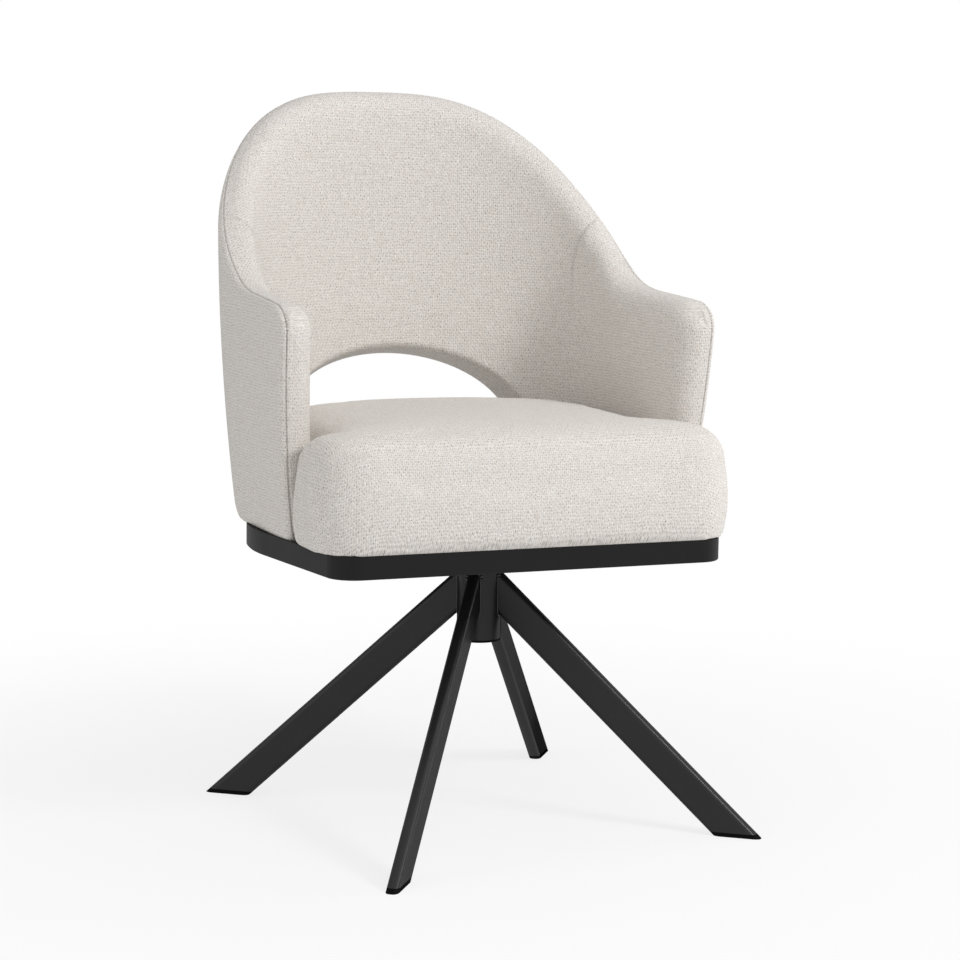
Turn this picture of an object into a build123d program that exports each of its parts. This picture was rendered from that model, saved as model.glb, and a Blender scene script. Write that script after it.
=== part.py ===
from build123d import *
import math
import os

# Upholstered swivel dining chair, millimetres, +Z up.
# The seat faces -Y, and the origin is on the floor, on the swivel axis.

# Legs and feet
LEG_DEPTH = 38.0
LEG_WIDTH = 15.0
LEG_WALL = 1.5
LEG_CORNER = 5.8
LEG_SLOPE = 43.0
LEG_REACH = 314.5
BASE_TURN = 7.4
GLIDE_HEIGHT = 5.0
GLIDE_PLUG = 14.0
PLUG_CLEARANCE = 0.15

# Hub, bushes and bearing
HUB_DIAMETER = 52.0
HUB_WALL = 3.0
HUB_BELOW_LEGS = 28.0
HUB_ABOVE_LEGS = 13.0
WELD_GAP = 0.05
CAP_FLANGE = 3.0
CAP_PLUG = 5.0
CAP_EDGE = 1.5
CAP_GAP = 0.8
SPINDLE_DIAMETER = 25.0
BUSH_LENGTH = 20.0
BUSH_FIT = 0.03
RUNNING_FIT = 0.05
RACE_THICKNESS = 2.0
RACE_BORE_GAP = 0.5
BALL_DIAMETER = 4.0
BALL_COUNT = 20
BALL_GAP = 0.05
CAGE_THICKNESS = 1.6
CAGE_POCKET_GAP = 0.1
CAGE_RIM = 2.5
WASHER_THICKNESS = 2.5
WASHER_RIM = 6.0
RING_THICKNESS = 1.5
RING_DEPTH = 1.5
RING_RIM = 3.0
RING_MOUTH = 9.0
RING_GAP = 0.1
END_PLAY = 0.2
SPINDLE_TAIL = 3.0
SPINDLE_EDGE = 1.0

# Swivel plate and its fasteners
PLATE_SIZE = 170.0
PLATE_THICKNESS = 4.0
PLATE_CORNER = 14.0
BOLT_PITCH = 124.0
BOLT_DIAMETER = 8.0
BOLT_HEAD = 13.0
BOLT_HEAD_HEIGHT = 5.3
BOLT_HOLE_GAP = 0.5
BOLT_WASHER_RIM = 4.0
BOLT_WASHER_THICKNESS = 1.6
TEE_FLANGE_RIM = 7.0
TEE_FLANGE_THICKNESS = 1.8
TEE_BARREL_WALL = 1.2
TEE_DEPTH = 15.0
TEE_FIT = 0.1

# Plinth
PLINTH_HEIGHT = 26.0
PLINTH_FRONT = 170.0
PLINTH_BACK = 278.0
PLINTH_FRONT_HALF = 235.0
PLINTH_FLARE = 6.6
PLINTH_FRONT_CORNER = 32.0
PLINTH_BACK_CORNER = 225.0
PLINTH_EDGE = 1.2

# Tub
TUB_THICKNESS = 46.0
TUB_CENTRE_Y = 115.0
TUB_SIDE_OVERHANG = 2.5
TUB_BACK_OVERHANG = 11.0
ARM_OVERHANG = 4.0
ARM_TIP_Y = -42.0
ARM_HEIGHT = 272.0
BACK_HEIGHT = 512.0
RIM_RUN = 463.0
RIM_POWER = 2.92
RIM_FALL = 5.8
BACK_LEAN = 0.37
BACK_BOW = 0.00031
SIDE_LEAN = 0.11
ARM_LEAN = 0.15
SIDE_BOW = 0.0003
ARM_FORWARD = 0.125
RIM_OUTER_ROUND = 8.0
RIM_INNER_ROUND = 30.0
TUB_FOOT_INSET = 13.0
ARM_FOOT_INSET = 5.0
TUB_FOOT_ROUND = 28.0
ARM_NOSE_TOP = 44.0
LUNETTE_HALF_WIDTH = 158.0
LUNETTE_BASE = 84.0
LUNETTE_CENTRE = 80.0
LUNETTE_RISE = 109.0
LUNETTE_TILT = 12.0
FRAME_THICKNESS = 12.0
FRAME_BACKING = 16.0
FRAME_MARGIN = 24.0
FRAME_GAP = 0.3
TUB_SCREW_DIAMETER = 5.0
TUB_SCREW_LENGTH = 42.0
TUB_SCREW_HEAD = 11.0
TUB_SCREW_ANGLE = 22.0
TUB_SCREW_SIDES = (0.1, 0.55)

# Seat cushion
CUSHION_FRONT_HALF = 238.0
CUSHION_FLARE = 0.7
CUSHION_HEIGHT = 140.0
CUSHION_SWELL = 8.5
CUSHION_FOOT_INSET = 5.0
CUSHION_EDGE_ROUND = 29.0
CUSHION_CROWN = 21.0
CUSHION_CROWN_INSET = 150.0
CUSHION_CORNER = 34.0
CUSHION_GAP = 3.5
BOARD_THICKNESS = 12.0
BOARD_INSET = 18.0
BOARD_GAP = 6.0
BOARD_CLEARANCE = 0.3
SEAT_SCREW_DIAMETER = 5.0
SEAT_SCREW_HEAD = 10.0
SEAT_SCREW_X = 140.0
SEAT_SCREW_FRONT = -105.0
SEAT_SCREW_BACK = 125.0
SCREW_HEAD_HEIGHT = 3.5
SEAT_SCREW_SHORT = 2.4
SCREW_HOLE_GAP = 0.2
SCREW_TIP_GAP = 1.0

# Heights that follow from the sizes above
hub_radius = HUB_DIAMETER / 2
slope = math.radians(LEG_SLOPE)
joint_height = (LEG_REACH - hub_radius) * math.tan(slope)
leg_half_rise = LEG_DEPTH / 2 / math.cos(slope)
hub_bottom = joint_height - leg_half_rise - HUB_BELOW_LEGS
hub_top = joint_height + leg_half_rise + HUB_ABOVE_LEGS
ball_floor = hub_top + RACE_THICKNESS
ball_ceiling = ball_floor + BALL_DIAMETER
plate_bottom = ball_ceiling + RACE_THICKNESS
plinth_bottom = plate_bottom + PLATE_THICKNESS
plinth_top = plinth_bottom + PLINTH_HEIGHT

parts = {}


def ring(outer, inner, bottom, top):
    """A flat ring about the swivel axis, from one height to another."""
    height = top - bottom
    body = Cylinder(outer, height) - Cylinder(inner, height)
    return Pos(0, 0, bottom + height / 2) * body


def post(radius, bottom, top, x=0.0, y=0.0):
    """An upright round bar from one height to another."""
    height = top - bottom
    return Pos(x, y, bottom + height / 2) * Cylinder(radius, height)


def group(solids):
    """Separate solids kept together in one node."""
    return Compound(children=list(solids))


def limited(radius, room):
    """A corner radius held to what its wall has room for."""
    return min(radius, 0.95 * room)


# Legs and foot glides
def leg_bar(width, depth, corner):
    """A sloping bar from inside the hub to below the floor, along +X."""
    length = 2 * LEG_REACH
    middle = length / 2 - LEG_DEPTH - LEG_WIDTH
    section = Plane.YZ * RectangleRounded(width, depth, corner)
    bar = Pos(-length / 2, 0, 0) * extrude(section, length)
    return Pos(LEG_REACH, 0, 0) * (Rot(0, LEG_SLOPE, 0) * (Pos(-middle, 0, 0) * bar))


def between(solid, low, high):
    """The slice of a solid between two heights."""
    size = 4 * LEG_REACH
    return solid & (Pos(0, 0, (low + high) / 2) * Box(size, size, high - low))


outer_bar = leg_bar(LEG_WIDTH, LEG_DEPTH, LEG_CORNER)
bore_bar = leg_bar(LEG_WIDTH - 2 * LEG_WALL, LEG_DEPTH - 2 * LEG_WALL, LEG_CORNER - LEG_WALL)
plug_inset = LEG_WALL + PLUG_CLEARANCE
plug_bar = leg_bar(LEG_WIDTH - 2 * plug_inset, LEG_DEPTH - 2 * plug_inset, LEG_CORNER - plug_inset)
outside_hub = Pos(2 * LEG_REACH, 0, 0) * Box(4 * LEG_REACH, LEG_REACH, 4 * LEG_REACH)
hub_envelope = post(hub_radius + WELD_GAP, hub_bottom - LEG_REACH, hub_top + LEG_REACH)
leg = between((outer_bar - bore_bar) & outside_hub, GLIDE_HEIGHT, hub_top) - hub_envelope
glide = between(outer_bar, 0, GLIDE_HEIGHT) + between(plug_bar, GLIDE_HEIGHT, GLIDE_HEIGHT + GLIDE_PLUG)

LEG_PLACES = {"front_right": -45.0, "back_right": 45.0, "back_left": 135.0, "front_left": 225.0}
for place, angle in LEG_PLACES.items():
    turn = Rot(0, 0, angle + BASE_TURN)
    parts["leg_" + place] = turn * leg
    parts["foot_glide_" + place] = turn * glide

# Hub, bushes and end cap
hub_bore = hub_radius - HUB_WALL
spindle_radius = SPINDLE_DIAMETER / 2
spindle_bottom = hub_bottom + CAP_PLUG + CAP_GAP
ring_bottom = spindle_bottom + SPINDLE_TAIL
washer_bottom = ring_bottom + RING_THICKNESS
washer_top = washer_bottom + WASHER_THICKNESS
lower_bush_bottom = washer_top + END_PLAY
parts["hub_tube"] = ring(hub_radius, hub_bore, hub_bottom, hub_top)
bush_outer = hub_bore - BUSH_FIT
bush_inner = spindle_radius + RUNNING_FIT
parts["upper_bush"] = ring(bush_outer, bush_inner, hub_top - BUSH_LENGTH, hub_top)
parts["lower_bush"] = ring(bush_outer, bush_inner, lower_bush_bottom, lower_bush_bottom + BUSH_LENGTH)
cap_flange = post(hub_radius, hub_bottom - CAP_FLANGE, hub_bottom)
cap_flange = fillet(cap_flange.edges().group_by(Axis.Z)[0], limited(CAP_EDGE, CAP_FLANGE))
parts["hub_end_cap"] = cap_flange + post(hub_bore - BUSH_FIT, hub_bottom, hub_bottom + CAP_PLUG)

# Ball thrust bearing between the hub and the swivel plate
race_bore = spindle_radius + RACE_BORE_GAP
ball_circle = (hub_radius + race_bore) / 2
ball_radius = BALL_DIAMETER / 2 - BALL_GAP
ball_middle = (ball_floor + ball_ceiling) / 2
ball_places = PolarLocations(ball_circle, BALL_COUNT)
parts["bearing_lower_race"] = ring(hub_radius, race_bore, hub_top, ball_floor)
parts["bearing_upper_race"] = ring(hub_radius, race_bore, ball_ceiling, plate_bottom)
cage_half = ball_radius + CAGE_RIM
cage_low = ball_middle - CAGE_THICKNESS / 2
cage = ring(ball_circle + cage_half, ball_circle - cage_half, cage_low, cage_low + CAGE_THICKNESS)
pocket = Pos(0, 0, ball_middle) * Cylinder(ball_radius + CAGE_POCKET_GAP, 2 * BALL_DIAMETER)
for spot in ball_places:
    cage = cage - spot * pocket
parts["ball_cage"] = cage
ball = Pos(0, 0, ball_middle) * Sphere(ball_radius)
parts["bearing_balls"] = group([spot * ball for spot in ball_places])

# Spindle with its retaining washer and ring
groove_radius = spindle_radius - RING_DEPTH
spindle = post(spindle_radius, spindle_bottom, plate_bottom)
spindle = spindle - ring(2 * spindle_radius, groove_radius, ring_bottom, washer_bottom)
parts["spindle"] = chamfer(spindle.edges().group_by(Axis.Z)[0], limited(SPINDLE_EDGE, SPINDLE_TAIL))
parts["retaining_washer"] = ring(
    spindle_radius + WASHER_RIM, spindle_radius + RUNNING_FIT, washer_bottom, washer_top
)
clip = ring(spindle_radius + RING_RIM, groove_radius + RING_GAP, ring_bottom, washer_bottom)
clip_mouth = Pos(spindle_radius, 0, ring_bottom) * Box(2 * spindle_radius, RING_MOUTH, 4 * RING_THICKNESS)
parts["retaining_ring"] = clip - clip_mouth

# Swivel plate, bolts, washers and tee nuts
bolt_places = GridLocations(BOLT_PITCH, BOLT_PITCH, 2, 2)
bolt_radius = BOLT_DIAMETER / 2
bolt_hole = bolt_radius + BOLT_HOLE_GAP
plate_sketch = RectangleRounded(PLATE_SIZE, PLATE_SIZE, PLATE_CORNER)
plate_sketch -= bolt_places * Circle(bolt_hole)
parts["swivel_plate"] = Pos(0, 0, plate_bottom) * extrude(plate_sketch, PLATE_THICKNESS)

tee_barrel = bolt_radius + TEE_FIT + TEE_BARREL_WALL
tee_flange = bolt_radius + TEE_FLANGE_RIM
tee_seat = plinth_top - TEE_FLANGE_THICKNESS
tee_bottom = plinth_top - TEE_DEPTH
head_top = plate_bottom - BOLT_WASHER_THICKNESS
bolt_washer = ring(bolt_radius + BOLT_WASHER_RIM, bolt_hole, head_top, plate_bottom)
head = extrude(RegularPolygon(BOLT_HEAD / 2, 6, major_radius=False), BOLT_HEAD_HEIGHT)
head = Pos(0, 0, head_top - BOLT_HEAD_HEIGHT) * head
bolt = head + post(bolt_radius, head_top, tee_seat)
tee_nut = ring(tee_flange, bolt_radius + TEE_FIT, tee_seat, plinth_top)
tee_nut += ring(tee_barrel, bolt_radius + TEE_FIT, tee_bottom, plinth_top)
parts["plate_bolts"] = group([spot * bolt for spot in bolt_places])
parts["plate_washers"] = group([spot * bolt_washer for spot in bolt_places])
parts["tee_nuts"] = group([spot * tee_nut for spot in bolt_places])

# Outlines of the plinth, the cushion and the seat board: half width at the front, then flare
plinth_side = (PLINTH_FRONT_HALF, math.radians(PLINTH_FLARE))
cushion_side = (CUSHION_FRONT_HALF, math.radians(CUSHION_FLARE))


def side_half(y, side=plinth_side):
    """Half width along a straight, flared side."""
    front_half, flare = side
    return front_half + math.tan(flare) * (y + PLINTH_FRONT)


def seat_outline(side, inset, front_corner, back_corner):
    """A face with a straight front, flared sides and a round back, drawn in by the inset."""
    flare = side[1]
    shift = inset / math.cos(flare)
    front = -PLINTH_FRONT + inset
    back = PLINTH_BACK - inset
    front_x = side_half(front, side) - shift
    back_x = side_half(back, side) - shift
    side_length = (back - front) / math.cos(flare)
    front_slope = math.tan((math.pi / 2 + flare) / 2)
    back_slope = math.tan((math.pi / 2 - flare) / 2)
    front_radius = limited(front_corner, min(front_x, side_length / 2) * front_slope)
    room = min(back_x, side_length - front_radius / front_slope)
    back_radius = limited(back_corner, room * back_slope)
    corners = [(-front_x, front), (front_x, front), (back_x, back), (-back_x, back)]
    face = make_face(Polyline(*corners, close=True))
    face = fillet(face.vertices().group_by(Axis.Y)[0], front_radius)
    return fillet(face.vertices().group_by(Axis.Y)[-1], back_radius)


# Tub: sections stand across a U-shaped outline, from one arm tip round the back to the other
tub_half = side_half(0) + TUB_SIDE_OVERHANG
tub_depth = PLINTH_BACK + TUB_BACK_OVERHANG - TUB_CENTRE_Y
arm_tip_x = side_half(ARM_TIP_Y) + ARM_OVERHANG
nose = TUB_THICKNESS / 2
side_run = TUB_CENTRE_Y - ARM_TIP_Y


def back_station(angle):
    """Place, outward direction and lean of the tub at an angle from the middle of the back."""
    sine, cosine = math.sin(angle), math.cos(angle)
    across, along = sine / tub_half, cosine / tub_depth
    size = math.hypot(across, along)
    spot = (tub_half * sine, TUB_CENTRE_Y + tub_depth * cosine)
    return spot, (across / size, along / size), (along / size) ** 2, 0.0


def side_station(share):
    """The same along the arm, from the end of the round back (0) to the tip (1)."""
    narrow = tub_half - arm_tip_x
    spot = (tub_half - narrow * share**2, TUB_CENTRE_Y - side_run * share)
    across, along = side_run, -2 * narrow * share
    size = math.hypot(across, along)
    return spot, (across / size, along / size), 0.0, share**2


def outline_run(angle):
    """Length of the outline from the middle of the back to an angle."""
    steps = 60
    spots = [back_station(angle * i / steps)[0] for i in range(steps + 1)]
    return sum(math.dist(a, b) for a, b in zip(spots, spots[1:]))


def rim_height(run):
    """Height of the rim above the plinth: high at the back, falling in a curve to the arms."""
    share = min(run / RIM_RUN, 1.0)
    return ARM_HEIGHT + (BACK_HEIGHT - ARM_HEIGHT) * (1 - share**RIM_POWER) ** RIM_FALL


BACK_ANGLES = [math.radians(90 * i / 9) for i in range(10)]
SIDE_SHARES = [0.22, 0.44, 0.66]
NOSE_STEPS = [1.6, 1.0, 0.68, 0.4, 0.18, 0.05]


def tub_stations(tip_gap):
    """Right half of the outline as (station, rim, distance to the tip) with the arm cut at a gap."""
    quarter = outline_run(math.pi / 2)
    rows = [(back_station(a), rim_height(outline_run(a)), side_run) for a in BACK_ANGLES]
    steps = [nose * step for step in NOSE_STEPS] if tip_gap is None else [tip_gap]
    shares = SIDE_SHARES + [1 - step / side_run for step in steps]
    for share in shares:
        run = quarter + side_run * share
        rows.append((side_station(share), rim_height(run), side_run * (1 - share)))
    return rows


def tub_point(station, side, offset, rise):
    """A point of the tub: offset is measured outwards from the leaning outer face."""
    (x, y), (across, along), back_share, arm_share = station
    back_lean = BACK_LEAN * rise - BACK_BOW * rise**2
    side_lean = (SIDE_LEAN + (ARM_LEAN - SIDE_LEAN) * arm_share) * rise - SIDE_BOW * rise**2
    out = back_share * back_lean + (1 - back_share) * side_lean + offset
    forward = ARM_FORWARD * arm_share * rise
    return Vector(side * (x + across * out), y + along * out - forward, plinth_top + rise)


def round_trip(make_section, tip_gap=None, ruled=False):
    """A solid through the sections of both halves, smooth unless it is ruled."""
    rows = tub_stations(tip_gap)
    right = [make_section(1, *row) for row in rows]
    left = [make_section(-1, *row) for row in rows[:0:-1]]
    return loft([Face(wire) for wire in left + right], ruled=ruled)


def padded_section(side, station, rim, to_tip):
    """Section of the upholstery: rounded foot, bowed faces, crisp outer and soft inner rim."""
    reach = max(nose - to_tip, 0.0)
    half = math.sqrt(nose**2 - reach**2)
    top_reach = max(ARM_NOSE_TOP - to_tip, 0.0)
    top = rim - (ARM_NOSE_TOP - math.sqrt(ARM_NOSE_TOP**2 - top_reach**2))
    share = half / nose
    outer, inner = half - nose, -half - nose
    crisp, soft = RIM_OUTER_ROUND * share, RIM_INNER_ROUND * share
    foot_in = (TUB_FOOT_INSET + (ARM_FOOT_INSET - TUB_FOOT_INSET) * station[3]) * share
    foot_up = TUB_FOOT_ROUND
    near = 1 - math.sqrt(0.5)

    def at(offset, rise):
        return tub_point(station, side, offset, rise)

    foot = at(outer - foot_in, 0)
    hip = at(outer, foot_up)
    shoulder = at(outer, top - crisp)
    crest = at(outer - crisp, top)
    brow = at(inner, top - soft)
    toe = at(inner, 0)
    edges = [
        ThreePointArc(foot, at(outer - foot_in * near, foot_up * near), hip),
        ThreePointArc(hip, at(outer, (foot_up + top - crisp) / 2), shoulder),
        ThreePointArc(shoulder, at(outer - crisp * near, top - crisp * near), crest),
        ThreePointArc(crest, at(inner + (outer - crisp - inner) * near, top - soft * near), brow),
        ThreePointArc(brow, at(inner, (top - soft) / 2), toe),
        Line(toe, foot),
    ]
    return Wire(edges)


def frame_section(near_face, far_face, drop):
    """Sections of the bent-plywood frame, between two depths behind the outer face."""

    def section(side, station, rim, to_tip):
        top = rim - drop

        def at(offset, rise):
            return tub_point(station, side, offset, rise)

        low_out, high_out = at(-near_face, 0), at(-near_face, top)
        low_in, high_in = at(-far_face, 0), at(-far_face, top)
        edges = [
            ThreePointArc(low_out, at(-near_face, top / 2), high_out),
            Line(high_out, high_in),
            ThreePointArc(high_in, at(-far_face, top / 2), low_in),
            Line(low_in, low_out),
        ]
        return Wire(edges)

    return section


def keep_out(gap):
    """Everything from the tub's inner face outwards, with a gap, over the cushion's height."""
    low, high = -PLINTH_HEIGHT, 1.5 * CUSHION_HEIGHT
    far = 2 * TUB_THICKNESS

    def section(side, station, rim, to_tip):
        corners = [
            tub_point(station, side, far, low),
            tub_point(station, side, far, high),
            tub_point(station, side, -TUB_THICKNESS - gap, high),
            tub_point(station, side, -TUB_THICKNESS - gap, low),
        ]
        return Wire(Polyline(*corners, close=True).edges())

    return round_trip(section, -gap, ruled=True)


def lunette(margin):
    """Half-moon bar through the back, tilted square to the leaning shell."""
    wide, rise = LUNETTE_HALF_WIDTH + margin, LUNETTE_RISE + margin
    moon = Ellipse(wide, rise)
    floor = LUNETTE_BASE - LUNETTE_CENTRE - margin
    moon -= Pos(0, floor - rise) * Rectangle(2 * wide, 2 * rise)
    inner_y = TUB_CENTRE_Y + tub_depth - TUB_THICKNESS + BACK_LEAN * LUNETTE_RISE
    length = 4 * TUB_THICKNESS
    bar = extrude(Plane.XZ * moon, length / 2, both=True)
    return Pos(0, inner_y, plinth_top + LUNETTE_CENTRE) * (Rot(-LUNETTE_TILT, 0, 0) * bar)


frame_far = FRAME_BACKING + FRAME_THICKNESS
frame_tip = nose + FRAME_MARGIN / 2
tub_frame = round_trip(frame_section(FRAME_BACKING, frame_far, FRAME_MARGIN), frame_tip)
tub_frame = tub_frame - lunette(FRAME_MARGIN)
frame_pocket = round_trip(
    frame_section(FRAME_BACKING - FRAME_GAP, frame_far + FRAME_GAP, FRAME_MARGIN - FRAME_GAP),
    frame_tip - FRAME_GAP,
)
frame_pocket = frame_pocket - lunette(FRAME_MARGIN - FRAME_GAP)
tub_upholstery = round_trip(padded_section) - lunette(0) - frame_pocket

# Screws up through the plinth into the frame's lower edge
frame_middle = FRAME_BACKING + FRAME_THICKNESS / 2
tub_screw_stations = [back_station(math.radians(TUB_SCREW_ANGLE))]
tub_screw_stations += [side_station(share) for share in TUB_SCREW_SIDES]
screw_bite = TUB_SCREW_LENGTH - PLINTH_HEIGHT
tub_screw_spots = [
    tub_point(station, side, -frame_middle, screw_bite / 2)
    for station in tub_screw_stations
    for side in (-1, 1)
]
tub_screw_radius = TUB_SCREW_DIAMETER / 2
tub_screw_hole = tub_screw_radius + SCREW_HOLE_GAP
tub_screw_top = plinth_bottom + TUB_SCREW_LENGTH
tub_screws = []
plinth_holes = []
for spot in tub_screw_spots:
    shank = post(tub_screw_radius, plinth_bottom, tub_screw_top, spot.X, spot.Y)
    head = post(TUB_SCREW_HEAD / 2, plinth_bottom - SCREW_HEAD_HEIGHT, plinth_bottom, spot.X, spot.Y)
    hole = post(tub_screw_hole, plinth_bottom, tub_screw_top + SCREW_TIP_GAP, spot.X, spot.Y)
    tub_screws.append(shank + head)
    plinth_holes.append(hole)
    tub_frame = tub_frame - hole
parts["tub_frame"] = tub_frame
parts["tub_upholstery"] = tub_upholstery
parts["tub_screws"] = group(tub_screws)

# Seat board and cushion
board_low, board_high = plinth_top, plinth_top + BOARD_THICKNESS
board_face = seat_outline(cushion_side, BOARD_INSET, CUSHION_CORNER, PLINTH_BACK_CORNER - BOARD_INSET)
seat_board = Pos(0, 0, board_low) * extrude(board_face, BOARD_THICKNESS)
seat_board = seat_board - keep_out(CUSHION_GAP + BOARD_GAP)
recess_inset = BOARD_INSET - BOARD_CLEARANCE
recess_face = seat_outline(cushion_side, recess_inset, CUSHION_CORNER, PLINTH_BACK_CORNER - recess_inset)
recess = Pos(0, 0, board_low) * extrude(recess_face, BOARD_THICKNESS)
recess = recess - keep_out(CUSHION_GAP + BOARD_GAP - BOARD_CLEARANCE)


WALL_SHARES = [0.12, 0.4, 0.75, 1.0]
EDGE_TURNS = [25.0, 50.0, 75.0]
CROWN_SHARES = [0.25, 0.5, 0.75, 1.0]


def swell_at(share):
    """How far the cushion's wall stands out at a share of its height."""
    return CUSHION_SWELL * math.sin(math.pi * (1 + 2 * share) / 4)


def cushion_levels():
    """Heights and insets of the pillow: drawn-in foot, swollen sides, round edge, shallow crown."""
    wall_top = CUSHION_HEIGHT - CUSHION_CROWN - CUSHION_EDGE_ROUND
    levels = [(0.0, CUSHION_FOOT_INSET)]
    for share in WALL_SHARES:
        levels.append((wall_top * share, -swell_at(share)))
    for angle in map(math.radians, EDGE_TURNS):
        inset = CUSHION_EDGE_ROUND * (1 - math.cos(angle)) - swell_at(1)
        levels.append((wall_top + CUSHION_EDGE_ROUND * math.sin(angle), inset))
    edge_rise, edge_inset = levels[-1]
    for share in CROWN_SHARES:
        rise = edge_rise + (CUSHION_HEIGHT - edge_rise) * (1 - (1 - share) ** 2)
        levels.append((rise, edge_inset + (CUSHION_CROWN_INSET - edge_inset) * share))
    return levels


pillow_sections = []
for rise, inset in cushion_levels():
    face = seat_outline(cushion_side, inset, CUSHION_CORNER, PLINTH_BACK_CORNER - inset)
    pillow_sections.append(Pos(0, 0, plinth_top + rise) * face)
seat_cushion = loft(pillow_sections, ruled=True) - keep_out(CUSHION_GAP) - recess

seat_screw_radius = SEAT_SCREW_DIAMETER / 2
seat_screw_hole = seat_screw_radius + SCREW_HOLE_GAP
seat_screw_top = board_high - SEAT_SCREW_SHORT
seat_screws = []
for x in (-SEAT_SCREW_X, SEAT_SCREW_X):
    for y in (SEAT_SCREW_FRONT, SEAT_SCREW_BACK):
        shank = post(seat_screw_radius, plinth_bottom, seat_screw_top, x, y)
        head = post(SEAT_SCREW_HEAD / 2, plinth_bottom - SCREW_HEAD_HEIGHT, plinth_bottom, x, y)
        hole = post(seat_screw_hole, plinth_bottom, seat_screw_top + SCREW_TIP_GAP, x, y)
        seat_screws.append(shank + head)
        plinth_holes.append(hole)
        seat_board = seat_board - hole
parts["seat_board"] = seat_board
parts["seat_cushion"] = seat_cushion
parts["seat_screws"] = group(seat_screws)

# Plinth board with its holes
plinth_face = seat_outline(plinth_side, 0, PLINTH_FRONT_CORNER, PLINTH_BACK_CORNER)
plinth = Pos(0, 0, plinth_bottom) * extrude(plinth_face, PLINTH_HEIGHT)
plinth = chamfer(plinth.edges().group_by(Axis.Z)[0], PLINTH_EDGE)
for hole in plinth_holes:
    plinth = plinth - hole
for spot in bolt_places:
    plinth = plinth - spot * post(bolt_hole, plinth_bottom, plinth_top)
    plinth = plinth - spot * post(tee_barrel + TEE_FIT, tee_bottom, plinth_top)
    plinth = plinth - spot * post(tee_flange + TEE_FIT, tee_seat, plinth_top)
parts["plinth"] = plinth

os.makedirs("parts", exist_ok=True)
for name, shape in parts.items():
    export_step(shape, "parts/" + name + ".step")
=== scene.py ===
import math

import bmesh
import bpy
import numpy as np
from mathutils import Matrix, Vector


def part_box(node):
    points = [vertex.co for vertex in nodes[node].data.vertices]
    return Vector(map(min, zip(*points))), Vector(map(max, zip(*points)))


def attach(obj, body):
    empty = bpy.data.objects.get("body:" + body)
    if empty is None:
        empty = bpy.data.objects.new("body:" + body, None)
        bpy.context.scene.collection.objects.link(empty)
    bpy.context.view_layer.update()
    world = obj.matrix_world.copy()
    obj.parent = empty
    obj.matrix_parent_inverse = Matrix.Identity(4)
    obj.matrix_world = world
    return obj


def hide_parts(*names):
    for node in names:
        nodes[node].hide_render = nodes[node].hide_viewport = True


# Upholstered swivel chair on a plinth. Sizes are in millimetres until a mesh is written, then in metres.
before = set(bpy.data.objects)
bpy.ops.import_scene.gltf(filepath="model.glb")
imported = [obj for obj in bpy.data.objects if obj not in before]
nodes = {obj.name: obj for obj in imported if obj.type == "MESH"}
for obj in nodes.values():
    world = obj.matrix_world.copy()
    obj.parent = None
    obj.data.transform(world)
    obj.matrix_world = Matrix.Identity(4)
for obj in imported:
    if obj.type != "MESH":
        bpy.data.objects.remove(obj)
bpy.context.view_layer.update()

# Base: four rectangular steel tubes welded round a hub tube, powder coated black after welding.
# The coat is finely pebbled, so its gloss fades where a face is seen edge-on. It flows over the weld beads,
# which stand round each leg's end and swell into shiny lumps at the top.
MM = 0.001
LEG_ANGLES = {"front_right": -45, "back_right": 45, "back_left": 135, "front_left": 225}
BASE_TURN = 7.4
HUB_RADIUS, LEG_WIDE, LEG_TALL, JOINT_RISE = 26.0, 15.0, 52.0, 269.0
BEAD_RADIUS, BEAD_STEP, BEAD_SQUARE = 2.1, 3.4, 0.28
BEAD_OFF_SIDE, BEAD_OFF_TOP = 0.6, 0.3
BEAD_THIN, BEAD_RIPPLE = 0.28, 0.05
BEAD_SAMPLES, BEAD_POINTS, BEAD_SIDES = 361, 321, 13
LUMP_THICK, LUMP_RIPPLE, LUMP_DEEP, LUMP_EASE = 0.5, 0.6, 12.0, 4.0
CLOUD_SCALE, GRAIN_STRENGTH = 14.0, 0.35


def feed(tree, node, inputs):
    """Gives a node's inputs, by label or number, a plain value or a link from another node's output."""
    for label, value in dict(inputs).items():
        if hasattr(value, "links"):
            tree.links.new(value, node.inputs[label])
        else:
            node.inputs[label].default_value = value
    return node


def add_node(tree, kind, inputs=(), **settings):
    """A new shader node with its settings and its inputs."""
    node = tree.nodes.new("ShaderNode" + kind)
    for label, value in settings.items():
        setattr(node, label, value)
    return feed(tree, node, inputs)


def math_node(tree, operation, *values):
    """A Math node with sockets or numbers as its inputs; returns its output."""
    return add_node(tree, "Math", enumerate(values), operation=operation).outputs[0]


def mix_colour(tree, factor, first, second, blend="MIX"):
    """A colour Mix node with sockets or values as its inputs; returns its output."""
    return add_node(tree, "Mix", {0: factor, 6: first, 7: second}, data_type="RGBA", blend_type=blend).outputs[2]


def noise(tree, vector, scale, detail=2.0, rough=0.5):
    """A Noise Texture node on a vector; returns the node."""
    return add_node(tree, "TexNoise", {"Vector": vector, "Scale": scale, "Detail": detail, "Roughness": rough})


def new_group(name, inputs, outputs):
    """An empty shader node group with named sockets; returns the tree, its input node and its output node."""
    tree = bpy.data.node_groups.new(name, "ShaderNodeTree")
    for way, sockets in (("INPUT", inputs), ("OUTPUT", outputs)):
        for label, kind in sockets.items():
            tree.interface.new_socket(label, in_out=way, socket_type="NodeSocket" + kind)
    return tree, tree.nodes.new("NodeGroupInput"), tree.nodes.new("NodeGroupOutput")


def new_material(name):
    """A material with its Principled shader; returns material, tree and shader."""
    material = bpy.data.materials.new(name)
    material.use_nodes = True
    return material, material.node_tree, material.node_tree.nodes["Principled BSDF"]


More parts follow.
